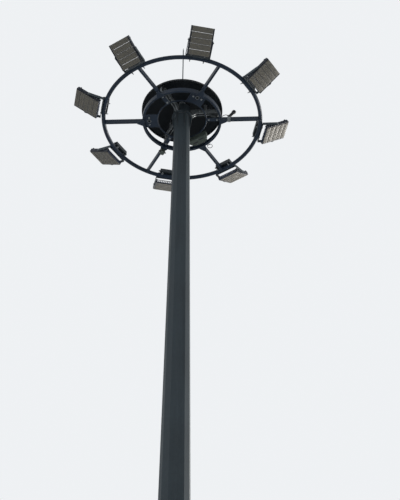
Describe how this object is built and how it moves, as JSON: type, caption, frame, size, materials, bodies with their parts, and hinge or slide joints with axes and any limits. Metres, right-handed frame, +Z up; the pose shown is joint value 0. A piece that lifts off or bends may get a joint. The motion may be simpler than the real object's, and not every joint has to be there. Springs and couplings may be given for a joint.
{
  "type": "high mast floodlight tower",
  "caption": "Tall tapered many-sided steel mast with a round lowering carriage of LED floodlights on spokes, under a rain cover with a lightning rod.",
  "frame": {"origin": "centre of the base flange's underside, on the mast's axis", "axes": "+Z up along the mast; +X to the right and +Y away, as the picture was taken"},
  "size_m": [3.176, 3.1743, 17.04],
  "materials": {
    "galvanised_steel": "dull galvanised",
    "mast_steel": "weathered galvanised grey",
    "ring_steel": "weathered grey",
    "sheave_metal": "machined",
    "cover_metal": "dull",
    "wire_rope": "stranded",
    "driver_housing": "satin",
    "box_plastic": "matte grey",
    "plug_plastic": "matte black",
    "lamp_frame": "dark anodised",
    "lamp_module": "cast, with pale lens plates"
  },
  "bodies": {
    "mast": {"base_flange": "galvanised_steel", "base_gussets": "galvanised_steel", "shaft_lower": "mast_steel", "shaft_upper": "mast_steel", "access_door": "mast_steel", "door_frame": "mast_steel", "head_plate": "galvanised_steel", "head_gussets": "galvanised_steel", "head_tube": "galvanised_steel", "sheave_arms": "galvanised_steel", "sheaves": "sheave_metal", "sheave_pins": "sheave_metal", "rain_cover": "cover_metal", "cover_post": "galvanised_steel", "lightning_rod": "galvanised_steel", "rope_runs": "wire_rope"},
    "carriage": {"outer_ring": "ring_steel", "inner_ring": "ring_steel", "guide_ring": "ring_steel", "spokes": "ring_steel", "guide_links": "ring_steel", "rope_lugs": "galvanised_steel", "lamp_stirrups": "galvanised_steel", "spoke_plates": "ring_steel", "driver_boxes": "driver_housing", "junction_box": "box_plastic", "cable_box": "box_plastic", "plug_clamp": "galvanised_steel", "supply_plug": "plug_plastic", "carriage_leads": "plug_plastic", "hoist_ropes": "wire_rope"},
    "lamp_1": {"lamp_1_frame": "lamp_frame", "lamp_1_modules": "lamp_module"},
    "lamp_2": {"lamp_2_frame": "lamp_frame", "lamp_2_modules": "lamp_module"},
    "lamp_3": {"lamp_3_frame": "lamp_frame", "lamp_3_modules": "lamp_module"},
    "lamp_4": {"lamp_4_frame": "lamp_frame", "lamp_4_modules": "lamp_module"},
    "lamp_5": {"lamp_5_frame": "lamp_frame", "lamp_5_modules": "lamp_module"},
    "lamp_6": {"lamp_6_frame": "lamp_frame", "lamp_6_modules": "lamp_module"},
    "lamp_7": {"lamp_7_frame": "lamp_frame", "lamp_7_modules": "lamp_module"},
    "lamp_8": {"lamp_8_frame": "lamp_frame", "lamp_8_modules": "lamp_module"}
  },
  "joints": [
    {"name": "carriage_hoist", "type": "slide", "parent": "mast", "child": "carriage", "axis": [0, 0, -1], "range_m": [0, 13.8], "deforming": ["hoist_ropes"]},
    {"name": "lamp_1_tilt", "type": "hinge", "parent": "carriage", "child": "lamp_1", "pos_m": [1.38211, 0.24122, 15.363], "axis": [0.1719, -0.9851, 0], "range_deg": [-33, 47]},
    {"name": "lamp_2_tilt", "type": "hinge", "parent": "carriage", "child": "lamp_2", "pos_m": [0.80673, 1.14786, 15.363], "axis": [0.8181, -0.575, 0], "range_deg": [-35, 45]},
    {"name": "lamp_3_tilt", "type": "hinge", "parent": "carriage", "child": "lamp_3", "pos_m": [-0.24122, 1.38211, 15.363], "axis": [0.9851, 0.1719, 0], "range_deg": [-32, 48]},
    {"name": "lamp_4_tilt", "type": "hinge", "parent": "carriage", "child": "lamp_4", "pos_m": [-1.14786, 0.80673, 15.363], "axis": [0.575, 0.8181, 0], "range_deg": [-32, 48]},
    {"name": "lamp_5_tilt", "type": "hinge", "parent": "carriage", "child": "lamp_5", "pos_m": [-1.38211, -0.24122, 15.363], "axis": [-0.1719, 0.9851, 0], "range_deg": [-33, 47]},
    {"name": "lamp_6_tilt", "type": "hinge", "parent": "carriage", "child": "lamp_6", "pos_m": [-0.80673, -1.14786, 15.363], "axis": [-0.8181, 0.575, 0], "range_deg": [-28, 52]},
    {"name": "lamp_7_tilt", "type": "hinge", "parent": "carriage", "child": "lamp_7", "pos_m": [0.24122, -1.38211, 15.363], "axis": [-0.9851, -0.1719, 0], "range_deg": [-35, 45]},
    {"name": "lamp_8_tilt", "type": "hinge", "parent": "carriage", "child": "lamp_8", "pos_m": [1.14786, -0.80673, 15.363], "axis": [-0.575, -0.8181, 0], "range_deg": [-32.5, 47.5]}
  ]
}
